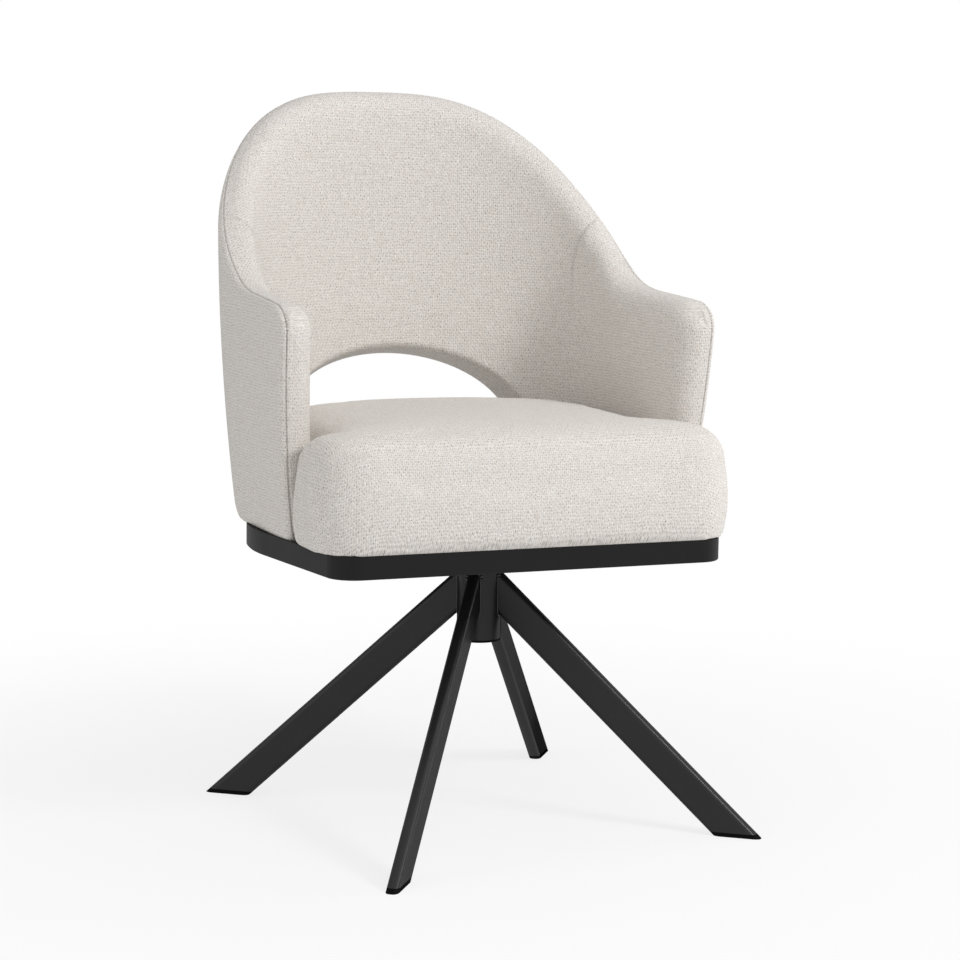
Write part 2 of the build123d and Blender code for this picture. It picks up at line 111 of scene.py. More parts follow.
def sprayed_grain():
    """Node group: fine sprayed grain. Speck is a small-scale noise for bump, Cloud a broad one for sheen."""
    tree, given, result = new_group("sprayed_grain", {"Place": "Vector", "Fineness": "Float"},
                                    {"Speck": "Float", "Cloud": "Float"})
    speck = noise(tree, given.outputs["Place"], given.outputs["Fineness"])
    cloud = noise(tree, given.outputs["Place"], CLOUD_SCALE, 3.0)
    feed(tree, result, {"Speck": speck.outputs["Fac"], "Cloud": cloud.outputs["Fac"]})
    return tree


grain_tree = sprayed_grain()


def sprayed(name, dark, pale, sheen, spread, fineness, relief, metallic=0.0, gloss=0.5, fall=0.0):
    """A sprayed or moulded finish: colour and sheen drift between two values, with a fine grain in the normal.
    Its gloss sinks by the fall as a face turns from facing to edge-on, as that of a pebbled skin does."""
    material, tree, shader = new_material(name)
    place = add_node(tree, "TexCoord").outputs["Object"]
    grain = add_node(tree, "Group", {"Place": place, "Fineness": fineness}, node_tree=grain_tree)
    cloud = grain.outputs["Cloud"]
    bump = add_node(tree, "Bump", {"Strength": GRAIN_STRENGTH, "Distance": relief, "Height": grain.outputs["Speck"]})
    if fall:
        turned = add_node(tree, "LayerWeight").outputs["Facing"]
        gloss = math_node(tree, "MAXIMUM", math_node(tree, "MULTIPLY_ADD", turned, -fall, gloss), 0.0)
    feed(tree, shader, {
        "Base Color": mix_colour(tree, cloud, dark, pale),
        "Roughness": math_node(tree, "MULTIPLY_ADD", cloud, spread, sheen - spread / 2),
        "Metallic": metallic,
        "Specular IOR Level": gloss,
        "Normal": bump.outputs[0],
    })
    return material


def finish_nodes(material, *names):
    """Puts a material on CAD nodes in place of the imported one."""
    for name in names:
        nodes[name].data.materials.clear()
        nodes[name].data.materials.append(material)


def joined_mesh(name, grids):
    """Mesh from grids of points in millimetres, their cloth lengths and their nearness to a seam, if there is one,
    welded where their borders meet. The nearness weights painted shade along the seams."""
    points, corners, cloths, seams, count = [], [], [], [], 0
    for point, cloth, *seam in grids:
        columns, rows = point.shape[:2]
        index = np.arange(columns * rows).reshape(columns, rows) + count
        quad = np.stack([index[:-1, :-1], index[1:, :-1], index[1:, 1:], index[:-1, 1:]], -1)
        points.append(point.reshape(-1, 3))
        cloths.append(cloth.reshape(-1, 2))
        seams.append(seam[0].ravel() if seam else np.zeros(columns * rows))
        corners.append(quad.reshape(-1, 4))
        count += columns * rows
    corners = np.concatenate(corners)
    mesh = bpy.data.meshes.new(name)
    mesh.from_pydata(np.concatenate(points) * MM, [], corners)
    layer = mesh.uv_layers.new(name="cloth")
    layer.data.foreach_set("uv", (np.concatenate(cloths) * MM)[corners].astype(np.float32).ravel())
    near_seam = mesh.attributes.new("seam", "FLOAT", "POINT")
    near_seam.data.foreach_set("value", np.concatenate(seams).astype(np.float32))
    work = bmesh.new()
    work.from_mesh(mesh)
    bmesh.ops.remove_doubles(work, verts=work.verts, dist=2e-6)
    bmesh.ops.dissolve_degenerate(work, edges=work.edges, dist=1e-7)
    bmesh.ops.recalc_face_normals(work, faces=work.faces)
    work.to_mesh(mesh)
    work.free()
    mesh.polygons.foreach_set("use_smooth", np.ones(len(mesh.polygons), bool))
    mesh.update()
    piece = bpy.data.objects.new(name, mesh)
    bpy.context.scene.collection.objects.link(piece)
    return piece


def weld_bead(angle):
    """A closed tube round a leg's end: its path is a rounded upright rectangle wrapped on the hub, its radius
    swells and sinks by a rectified sine once per weld step, and more so near the top."""
    turn = np.linspace(0, 2 * np.pi, BEAD_SAMPLES)
    level, upright = (np.sign(wave) * np.abs(wave) ** BEAD_SQUARE for wave in (np.cos(turn), np.sin(turn)))
    side = (LEG_WIDE / 2 + BEAD_OFF_SIDE) * level
    rise = JOINT_RISE + (LEG_TALL / 2 + BEAD_OFF_TOP) * upright
    length = np.r_[0, np.cumsum(np.hypot(np.diff(side), np.diff(rise)))]
    even = np.linspace(0, length[-1], BEAD_POINTS)
    side, rise = np.interp(even, length, side), np.interp(even, length, rise)
    around = np.arcsin(side / HUB_RADIUS) + math.radians(angle + BASE_TURN)
    out = np.stack([np.cos(around), np.sin(around), 0 * around], -1)
    path = out * HUB_RADIUS + np.stack([0 * rise, 0 * rise, rise], -1)
    ahead = np.roll(path[:-1], -1, 0) - np.roll(path[:-1], 1, 0)
    ahead = np.concatenate([ahead, ahead[:1]])
    cross = np.cross(out, ahead / np.linalg.norm(ahead, axis=1)[:, None])
    upper = np.clip((rise - JOINT_RISE - LEG_TALL / 2 + LUMP_DEEP) / LUMP_EASE, 0, 1)
    ripple = np.abs(np.sin(np.pi * round(length[-1] / BEAD_STEP) * even / length[-1]))
    thick = BEAD_RADIUS * (BEAD_THIN + BEAD_RIPPLE * ripple + upper * (LUMP_THICK + LUMP_RIPPLE * ripple))
    ring = np.linspace(0, 2 * np.pi, BEAD_SIDES)[None, :, None]
    return path[:, None] + thick[:, None, None] * (np.cos(ring) * out[:, None] + np.sin(ring) * cross[:, None])


powder_coat = sprayed("powder_coat", (0.010, 0.010, 0.0103, 1), (0.015, 0.015, 0.0153, 1), sheen=0.33, spread=0.12,
                      fineness=1300.0, relief=0.0003, gloss=0.30, fall=0.39)
coated_weld = sprayed("coated_weld", (0.007, 0.007, 0.0073, 1), (0.014, 0.014, 0.0143, 1), sheen=0.2, spread=0.1,
                      fineness=900.0, relief=0.0004, gloss=0.6)
finish_nodes(powder_coat, "hub_tube", *("leg_" + place for place in LEG_ANGLES))
beads = [weld_bead(angle) for angle in LEG_ANGLES.values()]
welds = joined_mesh("leg_welds", [(bead, bead[..., :2]) for bead in beads])
welds.data.materials.append(coated_weld)
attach(welds, "base")

# Foot glides and hub cap: moulded black plastic plugs pressed into the open ends of the legs and the hub.
# Their skin is finely textured and almost without gloss.
moulded_black = sprayed("moulded_black", (0.001, 0.001, 0.001, 1), (0.002, 0.002, 0.002, 1), sheen=0.5, spread=0.12,
                        fineness=450.0, relief=0.0004, gloss=0.06, fall=0.08)
finish_nodes(moulded_black, "hub_end_cap", *("foot_glide_" + place for place in LEG_ANGLES))

# Swivel works: a spindle under a coated steel plate turns on a ball thrust bearing and in two bushes in the hub.
# Bolts, washers, tee nuts and screws are zinc plated; bearing and spindle are ground steel of the same shade.
# Bushes and ball cage are natural acetal.
zinc = sprayed("zinc_plate", (0.42, 0.42, 0.43, 1), (0.60, 0.60, 0.61, 1), sheen=0.34, spread=0.2,
               fineness=380.0, relief=0.0002, metallic=1.0)
acetal = sprayed("natural_acetal", (0.70, 0.69, 0.65, 1), (0.80, 0.79, 0.75, 1), sheen=0.4, spread=0.15,
                 fineness=500.0, relief=0.0002)
finish_nodes(powder_coat, "swivel_plate")
finish_nodes(zinc, "plate_bolts", "plate_washers", "tee_nuts", "tub_screws", "seat_screws", "retaining_washer",
             "retaining_ring", "spindle", "bearing_lower_race", "bearing_upper_race", "bearing_balls")
finish_nodes(acetal, "upper_bush", "lower_bush", "ball_cage")

# Plinth: one board under tub and cushion, edges eased, sprayed with matt black lacquer.
# The spray leaves a very fine grain and the sheen varies a little over the board.
black_lacquer = sprayed("black_lacquer", (0.007, 0.007, 0.0072, 1), (0.011, 0.0108, 0.0108, 1), sheen=0.6,
                        spread=0.16, fineness=700.0, relief=0.0003, gloss=0.16)
finish_nodes(black_lacquer, "plinth")

# Plywood: the bent shell inside the tub and the board under the cushion, screwed to the plinth from below.
# Birch veneers with the grain along the board and thin dark glue lines between them.
VENEER_GRAIN, VENEER_BANDS = (6.0, 60.0, 60.0), 105.0
DARK_VENEER, PALE_VENEER, GLUE_LINE = (0.52, 0.36, 0.20, 1), (0.72, 0.55, 0.36, 1), (0.30, 0.19, 0.10, 1)


def stretched(tree, vector, scale):
    """A vector scaled by a different number on each axis."""
    return add_node(tree, "Mapping", {"Vector": vector, "Scale": scale}).outputs[0]


def birch_ply():
    """Plywood: a stretched noise for the grain and a fine band pattern in height for the layers."""
    material, tree, shader = new_material("birch_ply")
    place = add_node(tree, "TexCoord").outputs["Object"]
    grain = noise(tree, stretched(tree, place, VENEER_GRAIN), 1.0, 4.0, 0.6).outputs["Fac"]
    band = add_node(tree, "TexWave", {"Vector": place, "Scale": VENEER_BANDS, "Distortion": 0.6}, bands_direction="Z")
    veneer = mix_colour(tree, grain, DARK_VENEER, PALE_VENEER)
    glue = math_node(tree, "MULTIPLY", math_node(tree, "POWER", band.outputs["Fac"], 8.0), 0.35)
    feed(tree, shader, {
        "Base Color": mix_colour(tree, glue, veneer, GLUE_LINE),
        "Roughness": math_node(tree, "MULTIPLY_ADD", grain, 0.2, 0.55),
    })
    return material


finish_nodes(birch_ply(), "tub_frame", "seat_board")

# Tub: foam and batting over the bent-plywood shell, covered in a chunky off-white weave.
# The inside panel wraps over the rim and the arm fronts to a seam along the outer edge.
# A half-moon is cut low through the back and the cloth is turned in around it.
PLINTH_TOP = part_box("plinth")[1].z * 1000
TUB_THICK = 46.0
TUB_HALF, TUB_DEPTH, TUB_CENTRE_Y = 257.17, 174.0, 115.0
ARM_TIP_X, ARM_TIP_Y = 253.81, -42.0
ARM_RISE, BACK_RISE = 272.0, 512.0
RIM_RUN, RIM_POWER, RIM_FALL = 463.0, 2.92, 5.8
BACK_LEAN, BACK_BOW = 0.37, 0.00031
SIDE_LEAN, ARM_LEAN, SIDE_BOW = 0.11, 0.15, 0.0003
ARM_FORWARD = 0.125
RIM_CRISP, RIM_SOFT, ARM_CORNER = 9.0, 26.0, 31.0
FOOT_IN_BACK, FOOT_IN_ARM, FOOT_ROUND = 6.0, 3.0, 24.0
ARM_DRAW, ARM_DRAW_RUN = 3.5, 70.0
ARM_DROOP, ARM_DROOP_RUN, ARM_DROOP_POWER = 9.0, 110.0, 1.4
ARCH_HALF, ARCH_RISE, ARCH_CENTRE, ARCH_BASE = 158.0, 109.0, 80.0, 4.0
ARCH_TILT, ARCH_ROLL = math.radians(12), 7.0
ARCH_Y = TUB_CENTRE_Y + TUB_DEPTH - TUB_THICK + BACK_LEAN * ARCH_RISE
ARCH_ROUNDS, ARCH_EASE, SILL_ROUNDS = 60, 0.8, 30
SEAM_AT, SEAM_DEPTH, SEAM_WIDTH = 12.0, 1.7, 1.0
PANEL_RUN, PANEL_RISE, PANEL_BEND = 230.0, 290.0, 0.0055
# The inside panel seam sinks a groove and lays a narrow line of painted shade along it.
PANEL_SUNK, PANEL_SUNK_WIDTH, PANEL_PAINTED_SHADE, PANEL_PAINTED_SHADE_WIDTH = 2.6, 2.6, 0.7, 1.7
PANEL_FADE_FROM, PANEL_FADE_OVER = 240.0, 90.0
WELT_RISE, WELT_AT, WELT_WIDTH, WELT_EDGE = 1.8, 15.0, 10.0, 20.0
PUFF_RISE, PUFF_FROM, PUFF_OVER = 2.2, 120.0, 60.0
PUFF_EDGE, PUFF_EASE, PUFF_ARCH = 10.0, 40.0, 50.0
CLOTH_LEVEL = 160.0


def tub_outline():
    """Foot of the tub from the middle of the back to an arm tip: a quarter ellipse, then an arm that draws in with
    the square of its length. Rows: run, x, y, outward x, outward y, share of back, share of arm."""
    angle = np.linspace(0, np.pi / 2, 500)
    across, along = np.sin(angle) / TUB_HALF, np.cos(angle) / TUB_DEPTH
    size = np.hypot(across, along)
    share = np.linspace(0, 1, 200)[1:]
    reach, narrow = TUB_CENTRE_Y - ARM_TIP_Y, TUB_HALF - ARM_TIP_X
    length = np.hypot(reach, 2 * narrow * share)
    x = np.r_[TUB_HALF * np.sin(angle), TUB_HALF - narrow * share**2]
    y = np.r_[TUB_CENTRE_Y + TUB_DEPTH * np.cos(angle), TUB_CENTRE_Y - reach * share]
    run = np.r_[0, np.cumsum(np.hypot(np.diff(x), np.diff(y)))]
    out_x = np.r_[across / size, reach / length]
    out_y = np.r_[along / size, -2 * narrow * share / length]
    back = np.r_[(along / size) ** 2, 0 * share]
    return run, x, y, out_x, out_y, back, np.r_[0 * angle, share**2]


outline = tub_outline()
ARM_END = outline[0][-1]


def tub_point(run, offset, rise):
    """Point of the tub: run along its outline, offset outwards from the leaning outer face, rise over the plinth.
    The back leans by a parabola, the sides by a flatter one, and the arms also lean forwards."""
    x, y, out_x, out_y, back, arm = (np.interp(np.abs(run), outline[0], row) for row in outline[1:])
    back_lean = BACK_LEAN * rise - BACK_BOW * rise**2
    side_lean = (SIDE_LEAN + (ARM_LEAN - SIDE_LEAN) * arm) * rise - SIDE_BOW * rise**2
    out = back * back_lean + (1 - back) * side_lean + offset
    return np.stack([np.sign(run) * (x + out_x * out), y + out_y * out - ARM_FORWARD * arm * rise,
                     PLINTH_TOP + rise + 0 * out], -1)


def rim_rise(run):
    """Rim over the plinth: level round the back, falling in an S to the arms, with a little droop at their tips."""
    share = np.minimum(np.abs(run) / RIM_RUN, 1)
    droop = ARM_DROOP * np.clip(1 - (ARM_END - np.abs(run)) / ARM_DROOP_RUN, 0, 1) ** ARM_DROOP_POWER
    return ARM_RISE + (BACK_RISE - ARM_RISE) * (1 - share**RIM_POWER) ** RIM_FALL - droop


def arch_rise(point, height):
    """Rise at which a point's place in depth meets the half-moon's tilted axis plus a height."""
    return ARCH_CENTRE + (height - (point[..., 1] - ARCH_Y) * math.sin(ARCH_TILT)) / math.cos(ARCH_TILT)


def arch_edge(offset, turn):
    """Run and rise of the half-moon's arch on one face of the tub, for turns along the ellipse, by iteration."""
    run, rise = ARCH_HALF * np.sin(turn), ARCH_CENTRE + ARCH_RISE * np.cos(turn)
    for _ in range(ARCH_ROUNDS):
        point = tub_point(run, offset, rise)
        run = run + ARCH_EASE * (ARCH_HALF * np.sin(turn) - point[:, 0])
        rise = arch_rise(point, ARCH_RISE * np.cos(turn))
    return run, rise


def sill_edge(offset, run):
    """Rise of the half-moon's base line on one face of the tub, by iteration."""
    rise = np.full_like(run, ARCH_CENTRE)
    for _ in range(SILL_ROUNDS):
        rise = arch_rise(tub_point(run, offset, rise), ARCH_BASE)
    return rise


def arch_gap(point):
    """Distance outside the half-moon: an ellipse's distance, or that below the base line if it is larger."""
    x = point[..., 0]
    height = ((point[..., 1] - ARCH_Y) * math.sin(ARCH_TILT)
              + (point[..., 2] - PLINTH_TOP - ARCH_CENTRE) * math.cos(ARCH_TILT))
    near = np.hypot(x / ARCH_HALF, height / ARCH_RISE)
    steep = np.hypot(x / ARCH_HALF**2, height / ARCH_RISE**2)
    return np.maximum(near * (near - 1) / np.maximum(steep, 1e-6), ARCH_BASE - height)


def rolled(gap, radius):
    """How far a face draws back within a radius of an edge: a quarter circle."""
    gap = np.clip(gap, 0, radius)
    return radius - np.sqrt(radius**2 - (radius - gap) ** 2)


def rolled_extra(gap, radius):
    """Cloth length that the quarter circle adds over its straight height."""
    sine = (radius - np.clip(gap, 0, radius)) / radius
    return radius * (np.arcsin(sine) - sine)


# Grid of a face: columns and rows close up towards the rim and the arm fronts.
FACE_ROWS, LOW_ROWS, LOW_CROWDING = 58, 22, 1.3
SIDE_COLUMNS, SIDE_CROWDING, ARCH_COLUMNS, ARM_STRETCH = 82, 1.25, 121, 200.0
RIM_STEPS, ARCH_STEPS = 3, 11
edge_steps = np.array([0, 0.03, 0.09, 0.18, 0.3, 0.45, 0.7, 1.1, 1.6, 2.2, 3.0, 4.0, 5.5, 7.2, 9.0, 11, 14, 18,
                       23, 29, 37, 46, 57])
arm_steps = np.r_[edge_steps, np.arange(62, ARM_STRETCH, 5.0)]
side_shares = np.linspace(0, 1, SIDE_COLUMNS)[1:-1] ** SIDE_CROWDING
arch_turns = np.linspace(-1, 1, ARCH_COLUMNS) * math.acos(ARCH_BASE / ARCH_RISE)


def tub_columns(offset):
    """Columns of a face's grid: their runs along the outline, the half-moon's base line in each, and where the part
    over the half-moon starts, on its arch or on that line."""
    arch_run, arch_low = arch_edge(offset, arch_turns)
    side_run = arch_run[-1] + (ARM_END - ARM_STRETCH - arch_run[-1]) * side_shares
    half = np.r_[side_run, ARM_END - arm_steps[::-1]]
    run = np.r_[-half[::-1], arch_run, half]
    sill = sill_edge(offset, run)
    low = sill.copy()
    low[len(half):len(half) + len(arch_run)] = arch_low
    return run, sill, low


def tub_rows(run, sill, low):
    """Rises of the rows in each column, below and above the half-moon, with the rim's rise and the cosine of its
    slope. The upper rows end on the rim and on a quarter circle at the arm's upper corner."""
    to_tip, rim = ARM_END - np.abs(run), rim_rise(run)
    slope = (rim_rise(np.abs(run) + 1) - rim_rise(np.abs(run) - 1)) / 2
    cosine = np.where(to_tip < 1, 1, 1 / np.hypot(1, slope))
    corner = np.clip(ARM_CORNER - to_tip, 0, None)
    top = rim - (ARM_CORNER - np.sqrt(ARM_CORNER**2 - corner**2))
    near = edge_steps[::-1] / cosine[:, None]
    start = top - near[:, 0]
    between = low[:, None] + (start - low)[:, None] * np.linspace(0, 1, FACE_ROWS)
    upper = np.concatenate([between[:, :-1], top[:, None] - near], 1)
    lower = sill[:, None] * np.linspace(0, 1, LOW_ROWS) ** LOW_CROWDING
    return (lower, upper), rim, cosine


def edge_distance(tip, below):
    """Distance from the edge that runs along the rim, round the arm's corner and down its front, from the distances
    to arm tip and rim, with the shares of it that point along the arm and up."""
    ahead, above = np.clip(ARM_CORNER - tip, 0, None), np.clip(ARM_CORNER - below, 0, None)
    in_corner, span = (ahead > 0) & (above > 0), np.hypot(ahead, above)
    edge = np.where(in_corner, ARM_CORNER - span, np.minimum(tip, below))
    span = np.maximum(span, 1e-6)
    return edge, np.where(in_corner, ahead / span, tip < below), np.where(in_corner, above / span, tip >= below)


def inside_padding(run, rise, edge, gap):
    """How far padding and panel seam move the inside face outwards, and the weight of painted shade along that seam.
    The padding puffs it away from rim and half-moon; the seam is a bell-shaped groove with a soft welt beside it, and
    a narrower bell of painted shade."""
    puff = PUFF_RISE * np.clip((rise - PUFF_FROM) / PUFF_OVER, 0, 1)
    puff = puff * (1 - np.exp(-np.clip(edge - PUFF_EDGE, 0, None) / PUFF_EASE)) * np.clip(gap / PUFF_ARCH, 0, 1)
    past = np.abs(run) - PANEL_RUN - PANEL_BEND * np.clip(rise - PANEL_RISE, 0, None) ** 2
    welt = WELT_RISE * np.exp(-((past - WELT_AT) / WELT_WIDTH) ** 2) * np.clip(edge / WELT_EDGE, 0, 1)
    sunk = PANEL_SUNK * np.exp(-(past / PANEL_SUNK_WIDTH) ** 2) - welt
    fade = np.clip((rise - PANEL_FADE_FROM) / PANEL_FADE_OVER, 0, 1)
    return sunk * fade - puff, PANEL_PAINTED_SHADE * np.exp(-(past / PANEL_PAINTED_SHADE_WIDTH) ** 2) * fade


def outside_drawn_in(arm, rise, tip):
    """How far the outside face is drawn in: round its foot, and towards the arm fronts by the nearness squared."""
    foot = (FOOT_IN_BACK + (FOOT_IN_ARM - FOOT_IN_BACK) * arm) * rolled(rise, FOOT_ROUND) / FOOT_ROUND
    return foot + ARM_DRAW * np.clip(1 - tip / ARM_DRAW_RUN, 0, 1) ** 2


def tub_face(offset, inward):
    """One face of the tub as two grids of columns along the outline and rows up from the foot, below and above the
    half-moon: points, cloth lengths and nearness to a seam for each."""
    run, sill, low = tub_columns(offset)
    rises, rim, cosine = tub_rows(run, sill, low)
    level = tub_point(run, offset, np.full_like(run, CLOTH_LEVEL))
    length = np.r_[0, np.cumsum(np.linalg.norm(np.diff(level, axis=0), axis=1))]
    length, run = (length - length[-1] / 2)[:, None], run[:, None]
    arm = np.interp(np.abs(run), outline[0], outline[6])
    radius = RIM_SOFT if inward else RIM_CRISP
    grids = []
    for rise in rises:
        tip, below = ARM_END - np.abs(run) + 0 * rise, (rim[:, None] - rise) * cosine[:, None]
        edge, along, upward = edge_distance(tip, below)
        gap = arch_gap(tub_point(run + 0 * rise, offset, rise))
        back_off = np.maximum(rolled(edge, radius), rolled(gap, ARCH_ROLL))
        if inward:
            shift, seam = inside_padding(run, rise, edge, gap)
            place, aside = offset + back_off + shift, 0 * rise
        else:
            turn = np.arcsin(1 - np.clip(edge, 0, RIM_CRISP) / RIM_CRISP)
            # The seam bell shapes the outer groove and also weights the painted shade along it.
            seam = np.exp(-((RIM_CRISP * turn - SEAM_AT) / SEAM_WIDTH) ** 2)
            aside = SEAM_DEPTH * seam * np.sin(turn)
            place = offset - back_off - outside_drawn_in(arm, rise, tip) - SEAM_DEPTH * seam * np.cos(turn)
        point = tub_point(run - np.sign(run) * aside * along, place, rise - aside * upward)
        cloth = np.stack([length + np.sign(run) * rolled_extra(tip, radius), rise + rolled_extra(below, radius)], -1)
        grids.append((point, cloth, seam))
    return grids


def tub_cover():
    """The two faces, the strip along rim and arm fronts, the turned-in half-moon edge and the flat foot."""
    outside, inside = tub_face(0.0, False), tub_face(-TUB_THICK, True)
    (low_out, *_), (up_out, *_) = outside
    (low_in, low_cloth, _), (up_in, up_cloth, _) = inside
    before_arch = len(arm_steps) + len(side_shares)
    arch = slice(before_arch, before_arch + len(arch_turns))
    strips = [
        (up_out[:, -1], up_in[:, -1], up_cloth[:, -1], RIM_STEPS, 0, 1),
        (up_out[arch, 0], up_in[arch, 0], up_cloth[arch, 0], ARCH_STEPS, 0, -1),
        (low_out[arch, -1], low_in[arch, -1], low_cloth[arch, -1], ARCH_STEPS, 0, 1),
        (low_out[:, 0], low_in[:, 0], low_cloth[:, 0], RIM_STEPS, 0, -1),
    ]
    for tip, way in ((0, -1), (-1, 1)):
        strips.append((up_out[tip], up_in[tip], up_cloth[tip], RIM_STEPS, way, 0))
        strips.append((low_out[tip], low_in[tip], low_cloth[tip], RIM_STEPS, way, 0))
    grids = [*outside, *inside]
    for first, second, cloth, steps, across, up in strips:
        share = np.linspace(0, 1, steps)[None, :, None]
        wide = np.linalg.norm(second - first, axis=1)[:, None] * np.linspace(1, 0, steps)
        lengths = np.stack([cloth[:, :1] + across * wide, cloth[:, 1:] + up * wide], -1)
        grids.append((first[:, None] * (1 - share) + second[:, None] * share, lengths))
    return joined_mesh("tub_cover", grids)


UPRIGHT_PER_METRE, LEVEL_PER_METRE = 430.0, 290.0
UPRIGHT_SLUB, LEVEL_SLUB = (400.0, 45.0, 1.0), (45.0, 290.0, 1.0)
SWAY_SCALE, UNEVEN_SCALE, FUZZ_SCALE, PATCH_SCALE = 60.0, 190.0, 420.0, 28.0
YARN_SWAY, YARN_JITTER, YARN_ROUND = 1.5, 1.3, 0.55
# Dip weights and the uneven depth after them set the painted shade where a yarn dives under the other.
UPRIGHT_BODY, UPRIGHT_LIFT, UPRIGHT_DIP_PAINTED_SHADE = 0.62, 0.38, 0.85
LEVEL_BODY, LEVEL_LIFT, LEVEL_DIP_PAINTED_SHADE = 0.42, -0.22, 0.45
DIP_UNEVEN, DIP_LEAST = 4.2, -0.9
FUZZ_RISE, FUZZ_LIGHT, FUZZ_LEAST = 0.3, 1.1, 0.45
WARM_YARN, COOL_YARN = (0.77, 0.717, 0.66, 1), (0.85, 0.82, 0.787, 1)
# The weave's painted shade and its loss on flat patches, and the painted shade along the seams.
PATCH_SPAN, PATCH_LEAST, WEAVE_PAINTED_SHADE, PATCH_LOSS, SEAM_PAINTED_SHADE = 0.9, -0.15, 0.5, 0.2, 0.24


def plain_weave():
    """Node group: thick upright yarns passing over and under thinner level ones. Across a yarn the height follows a
    power of a sine, along it a sine that rises in every other cell; the higher yarn shows. Slubs follow each yarn.
    Light is a fine fuzz of random tone less a short stroke of painted shade, of uneven depth, where a yarn dives
    under, deeper for the upright ones."""
    tree, given, result = new_group("plain_weave", {"Cloth": "Vector", "Upright": "Float", "Level": "Float"},
                                    {"Slub": "Float", "Height": "Float", "Light": "Float"})
    cloth = given.outputs["Cloth"]
    sway, uneven = noise(tree, cloth, SWAY_SCALE, 4.0, 0.6), noise(tree, cloth, UNEVEN_SCALE, 3.0, 0.7)
    fine = noise(tree, cloth, FUZZ_SCALE).outputs["Fac"]
    parts = add_node(tree, "SeparateXYZ", {0: cloth})
    drift = add_node(tree, "SeparateColor", {0: sway.outputs["Color"]})
    jitter = add_node(tree, "SeparateColor", {0: uneven.outputs["Color"]})
    wave = []
    for axis, count in enumerate(("Upright", "Level")):
        cells = math_node(tree, "MULTIPLY", parts.outputs[axis], given.outputs[count])
        moved = math_node(tree, "MULTIPLY_ADD", drift.outputs[axis], YARN_SWAY, cells)
        moved = math_node(tree, "MULTIPLY_ADD", jitter.outputs[axis], YARN_JITTER, moved)
        wave.append(math_node(tree, "SINE", math_node(tree, "MULTIPLY", moved, math.pi)))
    heights = []
    for own, other, body, lift in ((wave[0], wave[1], UPRIGHT_BODY, UPRIGHT_LIFT),
                                   (wave[1], wave[0], LEVEL_BODY, LEVEL_LIFT)):
        across = math_node(tree, "POWER", math_node(tree, "ABSOLUTE", own), YARN_ROUND)
        along = math_node(tree, "MULTIPLY", other, math_node(tree, "SIGN", own))
        heights.append(math_node(tree, "MULTIPLY_ADD", along, lift, math_node(tree, "MULTIPLY", across, body)))
    upright = noise(tree, stretched(tree, cloth, UPRIGHT_SLUB), 1.0).outputs["Fac"]
    level = noise(tree, stretched(tree, cloth, LEVEL_SLUB), 1.0).outputs["Fac"]
    slub = add_node(tree, "Mix", {0: math_node(tree, "GREATER_THAN", *heights), 2: level, 3: upright})
    both = math_node(tree, "MULTIPLY", *wave)
    # Painted shade: a narrow dark stroke where each yarn dives under the other, of uneven depth.
    dips = []
    for own, way, share in ((wave[0], -1.0, UPRIGHT_DIP_PAINTED_SHADE), (wave[1], 1.0, LEVEL_DIP_PAINTED_SHADE)):
        dip = math_node(tree, "MAXIMUM", math_node(tree, "MULTIPLY", both, way), 0.0)
        narrow = math_node(tree, "MULTIPLY", dip, math_node(tree, "MULTIPLY", own, own))
        dips.append(math_node(tree, "MULTIPLY", narrow, share))
    depth = math_node(tree, "MULTIPLY_ADD", uneven.outputs["Fac"], DIP_UNEVEN, DIP_LEAST)
    dip_painted_shade = math_node(tree, "MULTIPLY", math_node(tree, "ADD", *dips), depth)
    speck = math_node(tree, "MULTIPLY_ADD", fine, FUZZ_LIGHT, FUZZ_LEAST)
    feed(tree, result, {
        "Slub": slub.outputs[0],
        "Height": math_node(tree, "MULTIPLY_ADD", fine, FUZZ_RISE, math_node(tree, "MAXIMUM", *heights)),
        "Light": math_node(tree, "SUBTRACT", speck, dip_painted_shade),
    })
    return tree


weave_tree = plain_weave()


